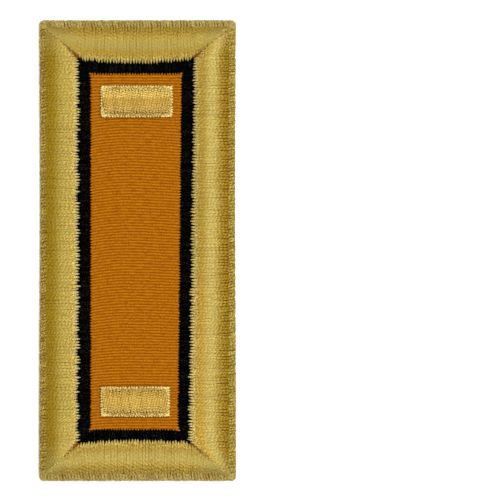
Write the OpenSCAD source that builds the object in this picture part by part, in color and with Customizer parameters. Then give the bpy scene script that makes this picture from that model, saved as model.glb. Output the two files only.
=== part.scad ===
// Embroidered shoulder board: a stiff felt-backed board with a padded gold border, a black line inside it,
// a ribbed orange field and two raised rank bars.
// Millimetres. The board lies on its back at z = 0, its length runs along Y, and its face looks along +Z.

/* [Board] */
// Overall length, along Y
board_length = 101.6; // [90:0.1:115]
// Overall width, along X
board_width = 43.4; // [40:0.1:52]
// Thickness of the stiff board with its felt back
backing_thickness = 1.2; // [1:0.1:2]
// Gap that neighbouring pieces keep
piece_gap = 0.05; // [0.03:0.01:0.1]

/* [Edge rim] */
// Width of the stitched rim that wraps round the board's edge, seen from above
rim_width = 1.6; // [1.3:0.1:2.5]
// How far the rim rises above the board's face
rim_rise = 1.1; // [0.9:0.05:1.5]
// Radius of the outline's corners, and of the rim's rounded edges
corner_radius = 0.9; // [0.5:0.05:0.95]

/* [Gold border] */
// Width of the left border, from the outline to its inner edge
border_left_width = 8.65; // [6:0.05:10]
// Width of the right border at its top end
border_right_width = 9.35; // [6:0.05:10]
// How much wider the right border is at its bottom end
border_right_slant = 0.7; // [0:0.05:1.5]
// Width of the top border at its corners
border_top_width = 8.4; // [6:0.05:10]
// Width of the bottom border at its corners
border_bottom_width = 8.4; // [6:0.05:10]
// How far the top border swells inwards at its middle
border_top_bow = 0.9; // [0:0.05:1.5]
// How far the bottom border swells inwards at its middle
border_bottom_bow = 0.6; // [0:0.05:1.5]
// Height of the border's crest above the board
crest_rise = 2.75; // [2:0.05:4]
// Height of the border above the board, where it meets the rim
outer_foot_rise = 1.1; // [0.8:0.05:1.6]
// Height of the border above the board, where it meets the black line
inner_foot_rise = 1.5; // [1.2:0.05:1.9]
// Where the two side borders' crest lies, as a share of their width from the rim inwards
side_crest_share = 0.6; // [0.35:0.01:0.7]
// Where the top and bottom borders' crest lies, as a share of their width from the rim inwards
end_crest_share = 0.46; // [0.35:0.01:0.7]
// Gap at each mitred corner, along the run
mitre_gap = 0.12; // [0.05:0.01:0.3]

/* [Black line] */
// Width of the black line along the two sides
line_side_width = 2.65; // [1.5:0.05:4]
// Width of the black line at the middle of its top end
line_top_width = 2.45; // [1.5:0.05:4]
// Width of the black line at the middle of its bottom end
line_bottom_width = 2.2; // [1.5:0.05:4]
// Thickness of the black line
line_thickness = 1.15; // [1:0.05:1.4]

/* [Ribbed field] */
// Thickness of the ribbon, with its ribs
field_thickness = 1.0; // [0.8:0.05:1.2]
// Distance from one rib to the next
rib_pitch = 0.64; // [0.4:0.01:1.2]
// Depth of the grooves between the ribs
rib_depth = 0.2; // [0.05:0.01:0.3]

/* [Rank bars] */
// Length of the top bar, along X
bar_top_length = 16.1; // [12:0.1:17]
// Length of the bottom bar, along X
bar_bottom_length = 15.5; // [12:0.1:17]
// Width of the top bar, along Y
bar_top_width = 7.15; // [5:0.05:9]
// Width of the bottom bar, along Y
bar_bottom_width = 6.8; // [5:0.05:9]
// Distance from the field's top end to the top bar
bar_top_margin = 2.6; // [1:0.1:6]
// Distance from the field's bottom end to the bottom bar
bar_bottom_margin = 2.9; // [1:0.1:6]
// How far the bars sit to the right of the field's middle
bar_offset = 0.2; // [-0.5:0.05:0.5]
// Width of the outline of short stitches round each bar
bar_rim_width = 1.1; // [0.8:0.05:1.5]
// Height of that outline above the field
bar_rim_height = 0.7; // [0.5:0.05:1]
// Radius of that outline's corners and rounded edges
bar_corner_radius = 0.4; // [0.2:0.05:0.45]
// Height of each bar's padded fill above the field, at its middle
bar_fill_height = 1.15; // [0.8:0.05:1.5]

/* [Hidden] */
$fn = 48;
wide_arc_fn = 720;
border_stations = 16;
border_steps = 12;
// How late along a run its crest turns towards the mitre
mitre_power = 6;
// A fill's edges stand at this share of its height
fill_edge_share = 0.55;
// One rib, from groove to groove: distance as a share of the pitch, height as a share of the depth
rib_shape = [[0, 0], [0.2, 0.75], [0.5, 1], [0.8, 0.75]];

board = [board_width, board_length];
face_z = backing_thickness + piece_gap;
bar_z = face_z + field_thickness + piece_gap;
inset = rim_width + piece_gap;

// The black line's outer corners, where the gold border ends
line_left = border_left_width - board_width / 2;
line_right_top = board_width / 2 - border_right_width;
line_right_bottom = line_right_top - border_right_slant;
line_top = board_length / 2 - border_top_width;
line_bottom = border_bottom_width - board_length / 2;

// The field's edges
field_left = line_left + line_side_width;
field_right_top = line_right_top - line_side_width;
field_right_bottom = line_right_bottom - line_side_width;
field_top = line_top - border_top_bow - line_top_width;
field_bottom = line_bottom + border_bottom_bow + line_bottom_width;
rib_count = round((field_top - field_bottom) / rib_pitch);

// The rank bars' sizes and middles
bar_top_size = [bar_top_length, bar_top_width];
bar_bottom_size = [bar_bottom_length, bar_bottom_width];
bar_top_y = field_top - bar_top_margin - bar_top_width / 2;
bar_bottom_y = field_bottom + bar_bottom_margin + bar_bottom_width / 2;

gold = "#bfa14f";
bright_gold = "#d9b968";
black = "#121213";
orange = "#c8740f";
felt = "#1d1d20";

function mix(a, b, t) = a + (b - a) * t;

// The gold border's runs go clockwise: top, right, bottom, left
function outer_corner(run) =
    [[-1, 1], [1, 1], [1, -1], [-1, -1]][run % 4] * [[board.x / 2 - inset, 0], [0, board.y / 2 - inset]];

function inner_corner(run) =
    [
        [line_left, line_top], [line_right_top, line_top],
        [line_right_bottom, line_bottom], [line_left, line_bottom]
    ][run % 4];

function along(run) = [[1, 0], [0, -1], [-1, 0], [0, 1]][run];

function inwards(run) = [[0, -1], [-1, 0], [0, 1], [1, 0]][run];

function bow(run) = [border_top_bow, 0, border_bottom_bow, 0][run];

// A point of the gold border's inner edge, at a share s of one run's length
function inner_edge(run, s) =
    mix(inner_corner(run), inner_corner(run + 1), s) + inwards(run) * bow(run) * 4 * s * (1 - s);

// The crest keeps its own share along a run and comes to a common one at the mitres
function crest_share(run, s) =
    let (
        own = run % 2 == 0 ? end_crest_share : side_crest_share,
        mitre = (end_crest_share + side_crest_share) / 2
    )
    mix(own, mitre, pow(abs(2 * s - 1), mitre_power));

// Height of the padded dome above the board, at a share t of its width from the rim inwards
function dome(t, crest) =
    t < crest
        ? mix(outer_foot_rise, crest_rise, sin(90 * t / crest))
        : mix(inner_foot_rise, crest_rise, sin(90 * (1 - t) / (1 - crest)));

// A run's cross-section at a share s of its length, from its outer foot over the dome to its inner foot
function border_section(run, s) =
    let (
        set_back = along(run) * mitre_gap * (1 - 2 * s),
        outer = mix(outer_corner(run), outer_corner(run + 1), s) + set_back,
        inner = inner_edge(run, s) - inwards(run) * piece_gap + set_back
    )
    [
        [outer.x, outer.y, 0],
        for (j = [0:border_steps])
            let (t = j / border_steps, p = mix(outer, inner, t))
            [p.x, p.y, dome(t, crest_share(run, s))],
        [inner.x, inner.y, 0]
    ];

// Joins a row of equal cross-sections into a closed solid
module skin(sections) {
    size = len(sections[0]);
    last = len(sections) - 1;
    walls = [
        for (i = [0:last - 1], j = [0:size - 1])
            let (a = i * size + j, b = i * size + (j + 1) % size)
            each [[a, b, b + size], [a, b + size, a + size]]
    ];
    first_cap = [for (j = [size - 1:-1:0]) j];
    last_cap = [for (j = [0:size - 1]) last * size + j];
    polyhedron([for (section = sections) each section], concat(walls, [first_cap, last_cap]));
}

// One mitred run of the gold border
module border(run) {
    color(gold)
        translate([0, 0, face_z])
            skin([for (i = [0:border_stations]) border_section(run, i / border_stations)]);
}

// A rim's outer edge in section, from the axis of its corners outwards
module rounded_edge(height, radius, both_edges) {
    foot = both_edges ? radius : 0;
    intersection() {
        square([radius, height]);
        union() {
            translate([0, height - radius])
                circle(radius);
            translate([0, foot])
                square([radius, height - radius - foot]);
            if (both_edges)
                translate([0, radius])
                    circle(radius);
        }
    }
}

// A rectangular ring with rounded corners and outer edges
module rounded_ring(size, band, height, radius, both_edges) {
    axes = size / 2 - [radius, radius];
    linear_extrude(height)
        difference() {
            square(2 * axes, center = true);
            square(size - 2 * [band, band], center = true);
        }
    for (turn = [0:3]) {
        axis = turn % 2 == 0 ? axes : [axes.y, axes.x];
        rotate(90 * turn)
            translate([axis.x, 0, 0]) {
                rotate([90, 0, 0])
                    linear_extrude(2 * axis.y, center = true)
                        rounded_edge(height, radius, both_edges);
                translate([0, axis.y, 0])
                    rotate_extrude(angle = 90)
                        rounded_edge(height, radius, both_edges);
            }
    }
}

// The stiff board with its felt back
module backing() {
    color(felt)
        linear_extrude(backing_thickness)
            square(board - 2 * [inset, inset], center = true);
}

// The rim of satin stitches that wraps round the board's edge
module edge_rim() {
    color(gold)
        rounded_ring(board, rim_width, backing_thickness + rim_rise, corner_radius, true);
}

function field_outline(margin) = [
    [field_left - margin, field_bottom - margin],
    [field_right_bottom + margin, field_bottom - margin],
    [field_right_top + margin, field_top + margin],
    [field_left - margin, field_top + margin]
];

// The black line, between the gold border's bowed inner edge and the field
module inner_line() {
    outline = [for (run = [0:3], i = [0:border_stations - 1]) inner_edge(run, i / border_stations)];
    color(black)
        translate([0, 0, face_z])
            linear_extrude(line_thickness)
                difference() {
                    polygon(outline);
                    polygon(field_outline(piece_gap));
                }
}

// The ribbed ribbon: its ribs run across the board
module field() {
    length = field_top - field_bottom;
    pitch = length / rib_count;
    ribs = [
        for (i = [0:rib_count - 1], p = rib_shape)
            [(i + p.x) * pitch, field_thickness - rib_depth * (1 - p.y)]
    ];
    profile = concat([[0, 0]], ribs, [[length, field_thickness - rib_depth], [length, 0]]);
    color(orange)
        translate([0, 0, face_z])
            intersection() {
                linear_extrude(field_thickness)
                    polygon(field_outline(0));
                translate([0, field_bottom, 0])
                    rotate([90, 0, 90])
                        linear_extrude(board_width, center = true)
                            polygon(profile);
            }
}

// The middle of the field's width at a height y
function field_middle(y) =
    let (s = (y - field_bottom) / (field_top - field_bottom))
    (field_left + mix(field_right_bottom, field_right_top, s)) / 2;

module place_bar(y) {
    translate([field_middle(y) + bar_offset, y, bar_z])
        children();
}

// The outline of short stitches round a rank bar
module bar_rim(size, y) {
    color(bright_gold)
        place_bar(y)
            rounded_ring(size, bar_rim_width, bar_rim_height, bar_corner_radius, false);
}

// A domed strip in section: flat below, an arc above
module domed_section(width) {
    edge = bar_fill_height * fill_edge_share;
    swell = bar_fill_height - edge;
    radius = (pow(width / 2, 2) + pow(swell, 2)) / (2 * swell);
    intersection() {
        translate([-width / 2, 0])
            square([width, bar_fill_height]);
        translate([0, bar_fill_height - radius])
            circle(radius, $fn = wide_arc_fn);
    }
}

// The padded fill of a rank bar, domed both ways
module bar_fill(size, y) {
    margin = bar_rim_width + piece_gap;
    inner = size - 2 * [margin, margin];
    color(bright_gold)
        place_bar(y)
            intersection() {
                rotate([90, 0, 90])
                    linear_extrude(inner.x, center = true)
                        domed_section(inner.y);
                rotate([90, 0, 0])
                    linear_extrude(inner.y, center = true)
                        domed_section(inner.x);
            }
}

module border_top() border(0);
module border_right() border(1);
module border_bottom() border(2);
module border_left() border(3);
module bar_top_rim() bar_rim(bar_top_size, bar_top_y);
module bar_top_fill() bar_fill(bar_top_size, bar_top_y);
module bar_bottom_rim() bar_rim(bar_bottom_size, bar_bottom_y);
module bar_bottom_fill() bar_fill(bar_bottom_size, bar_bottom_y);

backing();
edge_rim();
border_top();
border_right();
border_bottom();
border_left();
inner_line();
field();
bar_top_rim();
bar_top_fill();
bar_bottom_rim();
bar_bottom_fill();
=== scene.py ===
import math
import random

import bmesh
import bpy
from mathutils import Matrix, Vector, noise


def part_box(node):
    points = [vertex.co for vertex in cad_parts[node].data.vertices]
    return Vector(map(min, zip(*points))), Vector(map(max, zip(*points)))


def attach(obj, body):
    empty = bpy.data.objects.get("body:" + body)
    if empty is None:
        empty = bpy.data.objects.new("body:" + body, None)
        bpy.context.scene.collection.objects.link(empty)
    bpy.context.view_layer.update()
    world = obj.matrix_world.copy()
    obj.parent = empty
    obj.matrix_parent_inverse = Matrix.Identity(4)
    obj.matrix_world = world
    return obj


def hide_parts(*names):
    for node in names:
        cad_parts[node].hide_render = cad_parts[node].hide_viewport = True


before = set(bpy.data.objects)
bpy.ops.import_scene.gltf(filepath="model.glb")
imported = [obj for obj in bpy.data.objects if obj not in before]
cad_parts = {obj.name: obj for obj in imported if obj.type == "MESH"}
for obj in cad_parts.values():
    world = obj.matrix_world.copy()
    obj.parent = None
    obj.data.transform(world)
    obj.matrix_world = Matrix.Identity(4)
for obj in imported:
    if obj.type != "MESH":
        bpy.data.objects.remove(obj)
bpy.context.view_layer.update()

MM = 0.001


# Camera, light and floor

# The photograph looks straight down. One of its pixels is this long on the board, and the board's
# middle lies this many pixels from its left and top edges.
PHOTO_SIDE = 500
PIXEL = 0.2207 * MM
BOARD_MIDDLE_PIXEL = (137.65, 250.55)
LENS_MM = 360
SENSOR_MM = 36
NEAREST_SEEN = 0.01
FURTHEST_SEEN = 10.0
# The board is widest at this height, so the photograph's scale holds there
OUTLINE_HEIGHT = 1.2 * MM

SURROUNDING_LIGHT = 0.25
FLOOR_DEPTH = 0.1 * MM
FLOOR_HALF = 1.5
FLOOR_GREY = 0.95
FLOOR_GLOW = 0.15


def place_camera():
    data = bpy.data.cameras.new("camera")
    data.lens, data.sensor_width = LENS_MM, SENSOR_MM
    data.clip_start, data.clip_end = NEAREST_SEEN, FURTHEST_SEEN
    camera = new_object("camera", data)
    camera.location = (
        (PHOTO_SIDE / 2 - BOARD_MIDDLE_PIXEL[0]) * PIXEL,
        (BOARD_MIDDLE_PIXEL[1] - PHOTO_SIDE / 2) * PIXEL,
        OUTLINE_HEIGHT + PHOTO_SIDE * PIXEL * LENS_MM / SENSOR_MM,
    )
    bpy.context.scene.camera = camera


def add_strip_light(name, direction, distance, length, width, power):
    """A soft strip that shines on the board from a direction. Its length lies along the board's."""
    data = bpy.data.lights.new(name, "AREA")
    data.shape = "RECTANGLE"
    data.size, data.size_y, data.energy = length, width, power
    light = new_object(name, data)
    light.location = Vector(direction).normalized() * distance
    light.rotation_euler = (-light.location).to_track_quat("-Z", "Y").to_euler()


def light_studio():
    bpy.context.scene.view_settings.view_transform = "Standard"
    world = bpy.data.worlds.new("soft_studio")
    world.use_nodes = True
    background = world.node_tree.nodes["Background"]
    background.inputs["Color"].default_value = (1, 1, 1, 1)
    background.inputs["Strength"].default_value = SURROUNDING_LIGHT
    bpy.context.scene.world = world
    add_strip_light("key", (0.18, 0.06, 1.0), distance=1.5, length=2.0, width=0.5, power=35.0)


def lay_floor():
    mesh = bpy.data.meshes.new("floor")
    sides = ((-1, -1), (1, -1), (1, 1), (-1, 1))
    corners = [(x * FLOOR_HALF, y * FLOOR_HALF, -FLOOR_DEPTH) for x, y in sides]
    mesh.from_pydata(corners, [], [(0, 1, 2, 3)])
    material, nodes, shader = new_material("pale_floor")
    nodes.feed(shader, {
        "Base Color": (FLOOR_GREY, FLOOR_GREY, FLOOR_GREY, 1),
        "Roughness": 0.9,
        "Emission Strength": FLOOR_GLOW,
    })
    mesh.materials.append(material)
    new_object("floor", mesh)


# Node trees


class Wire:
    """What runs from one node to the next. It stands in a sum as a number does."""

    def __init__(self, nodes, socket):
        self.nodes, self.socket = nodes, socket

    def __add__(self, other):
        return self.nodes.math("ADD", self, other)

    def __sub__(self, other):
        return self.nodes.math("SUBTRACT", self, other)

    def __rsub__(self, other):
        return self.nodes.math("SUBTRACT", other, self)

    def __mul__(self, other):
        return self.nodes.math("MULTIPLY", self, other)

    def __truediv__(self, other):
        return self.nodes.math("DIVIDE", self, other)

    def __pow__(self, other):
        return self.nodes.math("POWER", self, other)

    def __abs__(self):
        return self.nodes.math("ABSOLUTE", self)

    def at_least(self, other):
        return self.nodes.math("MAXIMUM", self, other)

    def at_most(self, other):
        return self.nodes.math("MINIMUM", self, other)


class Nodes:
    """Adds nodes to a tree. A value given for an input is linked if it is a wire, and set if not."""

    def __init__(self, tree):
        self.tree = tree

    def feed(self, node, inputs):
        for key, value in inputs.items():
            if isinstance(value, Wire):
                self.tree.links.new(value.socket, node.inputs[key])
            else:
                node.inputs[key].default_value = value

    def add(self, kind, inputs=None, **settings):
        node = self.tree.nodes.new(kind)
        for name, value in settings.items():
            setattr(node, name, value)
        self.feed(node, inputs or {})
        return node

    def wire(self, kind, inputs=None, output=0, **settings):
        return Wire(self, self.add(kind, inputs, **settings).outputs[output])

    def wires(self, kind, inputs=None, **settings):
        return [Wire(self, socket) for socket in self.add(kind, inputs, **settings).outputs]

    def math(self, operation, *values):
        return self.wire("ShaderNodeMath", dict(enumerate(values)), operation=operation)

    def scaled(self, vector, factor):
        return self.wire("ShaderNodeVectorMath", {0: vector, 3: factor}, operation="SCALE")

    def mix(self, share, a, b):
        return self.wire("ShaderNodeMix", {0: share, 2: a, 3: b})

    def mix_colour(self, share, a, b):
        return self.wire("ShaderNodeMix", {0: share, 6: a, 7: b}, output=2, data_type="RGBA")

    def xyz(self, x, y, z=0.0):
        return self.wire("ShaderNodeCombineXYZ", {0: x, 1: y, 2: z})

    def parted(self, vector):
        """The x, y and z of a vector."""
        return self.wires("ShaderNodeSeparateXYZ", {0: vector})

    def noise(self, at, scale=1.0, detail=1.0):
        return self.wire("ShaderNodeTexNoise", {"Vector": at, "Scale": scale, "Detail": detail})

    def ramp(self, value, low, high, to_low=0.0, to_high=1.0):
        """Takes a range of a value smoothly to another range."""
        values = {0: value, 1: low, 2: high, 3: to_low, 4: to_high}
        return self.wire("ShaderNodeMapRange", values, interpolation_type="SMOOTHSTEP")

    def random(self, low, high, each, seed):
        return self.wire("FunctionNodeRandomValue", {2: low, 3: high, 7: each, 8: seed}, output=1)

    def named(self, name, data_type="FLOAT"):
        """An attribute, as a geometry tree reads it."""
        return self.wire("GeometryNodeInputNamedAttribute", {0: name}, data_type=data_type)

    def store(self, geometry, name, value, data_type="FLOAT"):
        values = {0: geometry, 2: name, 3: value}
        return self.wire("GeometryNodeStoreNamedAttribute", values, data_type=data_type)

    def attribute(self, name, output="Fac"):
        """An attribute, as a material reads it."""
        return self.wire("ShaderNodeAttribute", output=output, attribute_name=name)

    def bump(self, strength, distance, height):
        values = {"Strength": strength, "Distance": distance, "Height": height}
        return self.wire("ShaderNodeBump", values)

    def on_object(self):
        return self.wire("ShaderNodeTexCoord", output="Object")


def new_group(name, kind, inputs, outputs):
    """A node group with these sockets. Returns its nodes and a look-up of an input."""
    tree = bpy.data.node_groups.new(name, kind)
    for in_out, sockets in (("INPUT", inputs), ("OUTPUT", outputs)):
        for label, socket_kind in sockets.items():
            tree.interface.new_socket(label, in_out=in_out, socket_type="NodeSocket" + socket_kind)
    nodes = Nodes(tree)
    group_input = nodes.add("NodeGroupInput")
    return nodes, lambda label: Wire(nodes, group_input.outputs[label])


def new_geometry_tree(name, counts, values):
    """A geometry tree that works on a guide sheet, with these inputs and a material."""
    inputs = {
        "Guide": "Geometry",
        **dict.fromkeys(counts, "Int"),
        **dict.fromkeys(values, "Float"),
        "Material": "Material",
    }
    return new_group(name, "GeometryNodeTree", inputs, {"Geometry": "Geometry"})


def end_tree(nodes, geometry, material):
    """Ends a geometry tree with real, smooth geometry of one material."""
    smooth_geometry = nodes.wire("GeometryNodeSetShadeSmooth", {0: geometry})
    real = nodes.wire("GeometryNodeRealizeInstances", {0: smooth_geometry})
    nodes.add("NodeGroupOutput", {0: nodes.wire("GeometryNodeSetMaterial", {0: real, 2: material})})
    return nodes.tree


def sample_guide(nodes, guide, across, along):
    """The point and normal of a guide sheet at a place of its map, kept just inside the map."""
    low, high = 0.0001, 0.9999
    place = nodes.xyz(*(value.at_least(low).at_most(high) for value in (across, along)))
    guide_map = nodes.named("guide", "FLOAT_VECTOR")
    found = []
    for field in ("GeometryNodeInputPosition", "GeometryNodeInputNormal"):
        values = {0: guide, 1: nodes.wire(field), 2: guide_map, 3: place}
        found.append(nodes.wire("GeometryNodeSampleUVSurface", values, data_type="FLOAT_VECTOR"))
    return found


STITCH_COUNTS = ("Stitches", "Points", "Sides", "Seed")
# A row of satin stitches has these where it says nothing else. A gathering is how far a stitch is
# pulled to its needle hole, from 0 to 1. A slant or a waver is in pitches, and a reach, a ragged end,
# the run of a dive or a taper is a share of the stitch.
STITCH_VALUES = {
    "Closed Loop": 0.0,
    "Gather Start": 0.8,
    "Gather End": 0.9,
    "Start Reach": 0.14,
    "End Reach": 0.14,
    "Ragged Start": 0.0,
    "Ragged End": 0.0,
    "Slant": 0.0,
    "Waver": 0.9,
    "Lift Spread": 0.08 * MM,
    "Dive Start": 0.1,
    "Dive End": 0.0,
    "Dive Depth": 0.06 * MM,
    "Tip Taper": 0.1,
}
# Each thing that chance decides about a stitch has its own draw
DRAWS = {
    "hole": 11,
    "pair's cut": 21,
    "own cut": 31,
    "lift": 41,
    "tone": 51,
    "thickness": 61,
    "dive": 71,
    "pull": 81,
}
# How much closer together a stitch's points lie near its ends
END_CLOSENESS = 0.7
# How far a needle hole strays along the row, in pitches
HOLE_STRAY = 0.45
# How much of a ragged end is a thread's own, and not its pair's
OWN_CUT_SHARE = 0.35
# How far a wavering thread's noise moves on from stitch to stitch and along a stitch
WAVER_PER_STITCH = 3.7
WAVER_ALONG = 3.0
# How thick a tapered tip is, as a share of its thread, and how much one thread differs from the next
TIP_THICKNESS = 0.3
THICKNESS_SPREAD = (0.86, 1.12)
DIVE_SPREAD = (0.4, 1.6)
PULL_SPREAD = (0.2, 1.0)


def satin_stitch_tree():
    """Lays a row of stitches side by side over a guide sheet. The map's x runs along the row, and its
    y from where a stitch starts to where it ends. Two neighbours share a needle hole, as in a zigzag."""
    values = ("Thread Radius", *STITCH_VALUES)
    nodes, given = new_geometry_tree("satin_stitches", STITCH_COUNTS, values)
    seed = given("Seed")
    line = nodes.wire("GeometryNodeCurvePrimitiveLine", {1: (0.0, 1.0, 0.0)})
    line = nodes.wire("GeometryNodeResampleCurve", {0: line, 2: given("Points")})
    values = {0: line, 2: given("Stitches")}
    threads, number = nodes.wires("GeometryNodeDuplicateElements", values, domain="SPLINE")
    step, length_so_far, _ = nodes.wires("GeometryNodeSplineParameter")
    from_start = step - nodes.math("SINE", step * math.tau) * (END_CLOSENESS / math.tau)
    from_end = 1.0 - from_start

    def chance(what, low, high, each, extra=0.0):
        return nodes.random(low, high, each, seed + (DRAWS[what] + extra))

    own_place = number + 0.5
    own_cut = chance("own cut", 0.0, 1.0, number)
    place, cuts = own_place, []
    for first, share, end in ((0.0, from_start, "Start"), (1.0, from_end, "End")):
        pair = nodes.math("FLOOR", (number + (1.0 - first)) / 2.0)
        hole = pair * 2.0 + chance("hole", -HOLE_STRAY, HOLE_STRAY, pair, first) + first
        pull = nodes.ramp(share, 0.0, given(end + " Reach"), given("Gather " + end), 0.0)
        if end == "Start":
            pull = pull * chance("pull", *PULL_SPREAD, pair)
        place = place + pull * (hole - own_place)
        cut = nodes.mix(OWN_CUT_SHARE, chance("pair's cut", 0.0, 1.0, pair, first), own_cut)
        cuts.append(given("Ragged " + end) * cut)
    lean = given("Slant") * (from_start - 0.5)
    waver_at = nodes.xyz(number * WAVER_PER_STITCH, from_start * WAVER_ALONG, seed)
    place = place + lean + given("Waver") * (nodes.noise(waver_at) - 0.5)
    across = place / given("Stitches")
    across = nodes.mix(given("Closed Loop"), across, nodes.math("FRACT", across))
    along = nodes.mix(from_start, cuts[0], 1.0 - cuts[1])
    point, normal = sample_guide(nodes, given("Guide"), across, along)

    dive_start = nodes.ramp(from_start, 0.0, given("Dive Start"), 1.0, 0.0)
    dive_start = dive_start * chance("dive", *DIVE_SPREAD, number)
    dive_end = nodes.ramp(from_end, 0.0, given("Dive End"), 1.0, 0.0)
    lift = given("Lift Spread") * chance("lift", -0.5, 0.5, number)
    height = lift - given("Dive Depth") * (dive_start + dive_end)
    values = {0: threads, 2: point, 3: nodes.scaled(normal, height)}
    threads = nodes.wire("GeometryNodeSetPosition", values)

    threads = nodes.store(threads, "share", from_start)
    threads = nodes.store(threads, "whole", nodes.wire("GeometryNodeSplineLength"))
    threads = nodes.store(threads, "tone", chance("tone", 0.0, 1.0, number))
    threads = nodes.store(threads, "along", length_so_far)
    section = nodes.wire("GeometryNodeCurvePrimitiveCircle", {0: given("Sides"), 4: 1.0})
    section = nodes.store(section, "around", nodes.wire("GeometryNodeInputPosition"), "FLOAT_VECTOR")
    thickness = chance("thickness", *THICKNESS_SPREAD, number) * given("Thread Radius")
    thickness = thickness * nodes.ramp(from_end, 0.0, given("Tip Taper"), TIP_THICKNESS, 1.0)
    values = {0: threads, 1: section, 2: thickness, 3: True}
    return end_tree(nodes, nodes.wire("GeometryNodeCurveToMesh", values), given("Material"))


RIBBON_COUNTS = ("Ribs", "Steps", "Columns", "Seed")
RIBBON_VALUES = ("Rib Height", "Wander", "Unevenness")
# Below 1 a rib is broader, and the groove beside it narrower
RIB_ROUNDNESS = 0.7
# How far the noise that bends a rib, or makes its height uneven, moves on across the ribbon, and the
# first along the ribbon too
RIB_WANDER_ACROSS = 5.0
RIB_WANDER_ALONG = 40.0
RIB_UNEVEN_ACROSS = 14.0


def ribbed_ribbon_tree():
    """Raises ribs across a guide sheet. The map's y runs from rib to rib."""
    nodes, given = new_geometry_tree("ribbed_ribbon", RIBBON_COUNTS, RIBBON_VALUES)
    rows = given("Ribs") * given("Steps") + 1.0
    sheet, weave = nodes.wires("GeometryNodeMeshGrid", {2: given("Columns") + 1.0, 3: rows})
    sheet = nodes.store(sheet, "weave", weave, "FLOAT_VECTOR")
    across, along, _ = nodes.parted(nodes.named("weave", "FLOAT_VECTOR"))
    point, normal = sample_guide(nodes, given("Guide"), across, along)
    wander_at = nodes.xyz(across * RIB_WANDER_ACROSS, along * RIB_WANDER_ALONG, 7.0)
    rib_place = along * given("Ribs") + (nodes.noise(wander_at) - 0.5) * given("Wander")
    arch = nodes.math("SINE", nodes.math("FRACT", rib_place) * math.pi)
    crest = arch.at_least(0.0) ** RIB_ROUNDNESS
    uneven_at = nodes.xyz(across * RIB_UNEVEN_ACROSS, rib_place, given("Seed"))
    uneven = (nodes.noise(uneven_at, detail=2.0) - 0.5) * given("Unevenness") * crest
    height = (crest - 1.0) * given("Rib Height") + uneven
    values = {0: sheet, 2: point, 3: nodes.scaled(normal, height)}
    sheet = nodes.store(nodes.wire("GeometryNodeSetPosition", values), "rib", crest)
    return end_tree(nodes, sheet, given("Material"))


# Finishes

# Deep is painted shade in the grooves of the twist and between threads. Tip is a colour that paints
# light on some tips and shade on others. Glint is a painted highlight.
THREAD_COLOURS = ("Deep", "Dark", "Light", "Tip", "Glint")
# A spun thread has these where its material says nothing else. Its painted root shade, painted tip
# colour and painted glints show in full on threads of the full length, and hardly on those half as long.
# A root shade below 0 paints light. Side Shade and Twist Depth set the painted shade on a thread's sides
# and in the grooves of its twist.
THREAD_VALUES = {
    "Level": 0.88,
    "Full Length": 0.01 * MM,
    "Root Shade": 0.0,
    "Root Reach": 0.5,
    "Tip Share": 0.0,
    "Tip Reach": 0.2,
    "Tip Clean": 0.0,
    "Glint Share": 0.0,
    "Side Shade": 0.0,
    "Tone Spread": 0.15,
    "Middle Calm": 0.0,
    "Streak Length": 0.7 * MM,
    "Twist Length": 0.75 * MM,
    "Twist Depth": 0.75,
    "Relief": 0.8,
}
# Noise seldom leaves the first range, and lies mostly in the second
NOISE_RANGE = (0.3, 0.7)
MOST_NOISE = (0.35, 0.65)
# How far the noise of the streaks moves on across a thread, and how much darker or lighter they make it
STREAKS_ACROSS = 1.6
STREAK_TONES = (-0.25, 0.25)
# A thread is this rough where its streaks are dark, and where they are light
STREAK_ROUGHNESS = (0.6, 0.42)
# How high the streaks stand beside the strands, and how many turns they push the twist on
STREAK_HEIGHT = 0.6
STREAK_TURNS = 1.5
# The power that narrows the painted shade in the groove between two strands
GROOVE_CURVE = 1.5
# A thread's twist goes by the fraction of its tone times this, so that the two don't go together
TWIST_DRAW = 7.0
# These set one thread's streaks and strands apart from its neighbour's
STREAKS_APART = 517.0
STRANDS_APART = 31.0
TWIST_SPREAD = (0.7, 1.3)
STRAND_HEIGHT = 0.04 * MM
# The calm of a stitch's middle fades between these distances from it, as shares of the stitch
CALM_FADE = (0.15, 0.45)
# The tip's colour, which paints light and shade on the tips, is even over this part of its reach, and
# weaker where the streaks are dark
TIP_EVEN_SHARE = 0.45
TIP_NOISE = (0.3, 0.6)
# Painted glints thin out between these distances from the tip. They show where the noise is above a
# range, and crowd at the very tip, where the noise is raised by up to a boost over a short reach.
GLINT_FADE = (0.05, 0.3)
GLINT_NOISE = (0.5, 0.64)
GLINT_BOOST = 0.17
GLINT_BOOST_REACH = 0.2
# A painted glint takes away this share of the painted groove shade beside it
GLINT_UNSHADING = 0.8
# A thread's painted side shade, between it and its neighbours, deepens between these distances from its
# middle, as shares of its radius
SIDE_FADE = (0.3, 0.75)
# How light the padding's deep places are, as a share of its colour
PADDING_SHADE = 0.45


def srgb(red, green, blue):
    """A colour as a screen shows it, from 0 to 255, on the shader's own scale."""
    parts = (part / 255 for part in (red, green, blue))
    return (*(((c + 0.055) / 1.055) ** 2.4 if c > 0.04045 else c / 12.92 for c in parts), 1)


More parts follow.
